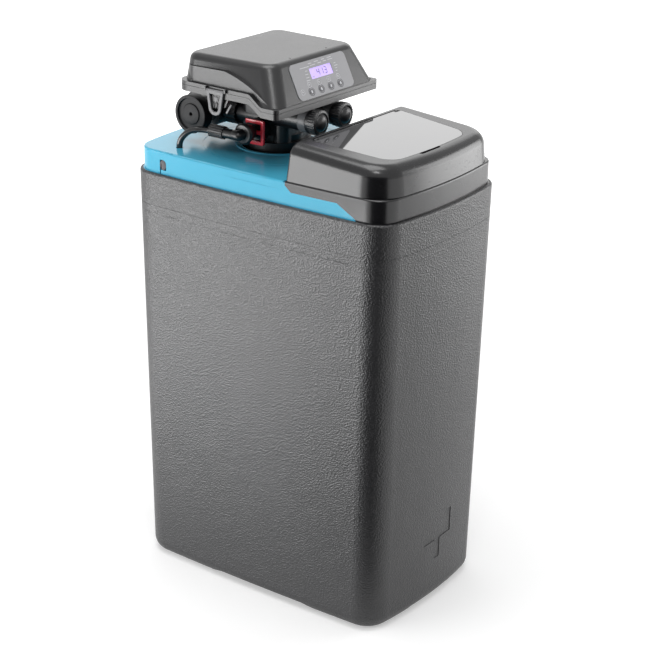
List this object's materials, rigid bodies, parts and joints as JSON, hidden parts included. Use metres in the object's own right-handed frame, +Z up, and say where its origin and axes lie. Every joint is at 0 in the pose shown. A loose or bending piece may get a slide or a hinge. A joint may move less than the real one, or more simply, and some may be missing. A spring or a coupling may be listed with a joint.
{
  "type": "water softener",
  "caption": "Cabinet water softener: salt cabinet with a mineral tank inside, control valve under a display head, bypass valve, brine line and a hinged salt hatch.",
  "frame": {"origin": "middle of the floor under the cabinet", "axes": "+Z up, -Y the salt lid's side with the display, +X to the right when facing the rear"},
  "size_m": [0.3198, 0.4999, 0.849],
  "materials": {
    "cabinet_plastic": "satin charcoal with a fine moulded grain",
    "deck_plastic": "glossy light blue",
    "lid_plastic": "satin gloss black",
    "hatch_plastic": "smoked high gloss",
    "pin_steel": "drawn steel",
    "tank_shell": "wound fibre shell, clear coated",
    "black_rubber": "moulded rubber",
    "resin_beads": "amber beads",
    "white_plastic": "natural white",
    "valve_plastic": "glass-filled black",
    "tube_plastic": "semi-gloss black tube",
    "clip_plastic": "bright red",
    "head_plastic": "satin black",
    "overlay_film": "matt grey film",
    "screen_glass": "lit display",
    "board_green": "coated board",
    "gear_plastic": "natural acetal"
  },
  "bodies": {
    "base": {"cabinet": "cabinet_plastic", "deck_cover": "deck_plastic", "front_frame": "lid_plastic", "mineral_tank": "tank_shell", "tank_boot": "black_rubber", "resin_bed": "resin_beads", "riser_tube": "white_plastic", "bottom_basket": "white_plastic", "top_basket": "white_plastic", "tank_oring": "black_rubber", "valve_body": "valve_plastic", "seal_stack": "white_plastic", "injector_cap": "valve_plastic", "flow_cap": "valve_plastic", "cap_seals": "black_rubber", "brine_elbow": "valve_plastic", "brine_nut": "valve_plastic", "brine_tube": "tube_plastic", "drain_fitting": "valve_plastic", "bypass_body": "valve_plastic", "bypass_nuts": "valve_plastic", "turbine_axle": "pin_steel", "head_base": "head_plastic", "drive_bracket": "gear_plastic", "bracket_screws": "pin_steel", "drive_motor": "pin_steel", "brine_well": "white_plastic", "well_cap": "white_plastic", "brine_valve": "white_plastic", "pickup_tube": "white_plastic", "salt_grid": "white_plastic"},
    "lid": {"salt_lid": "lid_plastic", "hatch_pin": "pin_steel"},
    "lid_hatch": {"hatch": "hatch_plastic"},
    "cover": {"head_cover": "head_plastic", "display_overlay": "overlay_film", "screen": "screen_glass", "circuit_board": "board_green", "board_screws": "pin_steel"},
    "key_1": {"button_1": "overlay_film"},
    "key_2": {"button_2": "overlay_film"},
    "key_3": {"button_3": "overlay_film"},
    "key_4": {"button_4": "overlay_film"},
    "left_latch": {"latch_left": "head_plastic"},
    "right_latch": {"latch_right": "head_plastic"},
    "gear": {"drive_gear": "gear_plastic"},
    "pinion": {"motor_pinion": "gear_plastic"},
    "piston": {"piston": "white_plastic", "piston_rod": "white_plastic"},
    "turbine": {"meter_turbine": "white_plastic"},
    "spool": {"bypass_spool": "valve_plastic"},
    "clip": {"brine_clip": "clip_plastic"},
    "float": {"brine_float": "white_plastic", "float_rod": "pin_steel"}
  },
  "joints": [
    {"name": "lid_lift", "type": "slide", "parent": "base", "child": "lid", "axis": [0, 0, 1], "range_m": [0, 0.12]},
    {"name": "hatch_hinge", "type": "hinge", "parent": "lid", "child": "lid_hatch", "pos_m": [0, -0.07586, 0.75162], "axis": [-1, 0, 0], "range_deg": [0, 95]},
    {"name": "cover_lift", "type": "slide", "parent": "base", "child": "cover", "axis": [0, 0, 1], "range_m": [0, 0.12]},
    {"name": "key_1_press", "type": "slide", "parent": "cover", "child": "key_1", "axis": [0, 0.8979, -0.4403], "range_m": [0, 0.0008], "stiffness_N_per_m": 400},
    {"name": "key_2_press", "type": "slide", "parent": "cover", "child": "key_2", "axis": [0, 0.8979, -0.4403], "range_m": [0, 0.0008], "stiffness_N_per_m": 400},
    {"name": "key_3_press", "type": "slide", "parent": "cover", "child": "key_3", "axis": [0, 0.8979, -0.4403], "range_m": [0, 0.0008], "stiffness_N_per_m": 400},
    {"name": "key_4_press", "type": "slide", "parent": "cover", "child": "key_4", "axis": [0, 0.8979, -0.4403], "range_m": [0, 0.0008], "stiffness_N_per_m": 400},
    {"name": "left_latch_hinge", "type": "hinge", "parent": "cover", "child": "left_latch", "pos_m": [-0.1291, 0.09, 0.804], "axis": [0, 1, 0], "range_deg": [0, 30]},
    {"name": "right_latch_hinge", "type": "hinge", "parent": "cover", "child": "right_latch", "pos_m": [0.1291, 0.09, 0.804], "axis": [0, -1, 0], "range_deg": [0, 30]},
    {"name": "gear_turn", "type": "hinge", "parent": "base", "child": "gear", "pos_m": [0, 0.07, 0.832], "axis": [0, 0, 1], "range_deg": [0, 660]},
    {"name": "pinion_turn", "type": "hinge", "parent": "base", "child": "pinion", "pos_m": [0, 0.115, 0.832], "axis": [0, 0, 1], "range_deg": [-3301, 0]},
    {"name": "piston_stroke", "type": "slide", "parent": "base", "child": "piston", "axis": [0, 0, 1], "range_m": [0, 0.0221]},
    {"name": "turbine_spin", "type": "hinge", "parent": "base", "child": "turbine", "pos_m": [0.024, 0.127, 0.745], "axis": [0, 1, 0], "continuous": true},
    {"name": "bypass_slide", "type": "slide", "parent": "base", "child": "spool", "axis": [1, 0, 0], "range_m": [0, 0.02]},
    {"name": "clip_pull", "type": "slide", "parent": "base", "child": "clip", "axis": [0, -1, 0], "range_m": [0, 0.035]},
    {"name": "float_lift", "type": "slide", "parent": "base", "child": "float", "axis": [0, 0, 1], "range_m": [-0.025, 0.015]}
  ],
  "couplings": [
    {"joint": "pinion_turn", "follows": "gear_turn", "ratio": -5},
    {"joint": "piston_stroke", "follows": "gear_turn", "m_per_rad": 0.0019099}
  ]
}
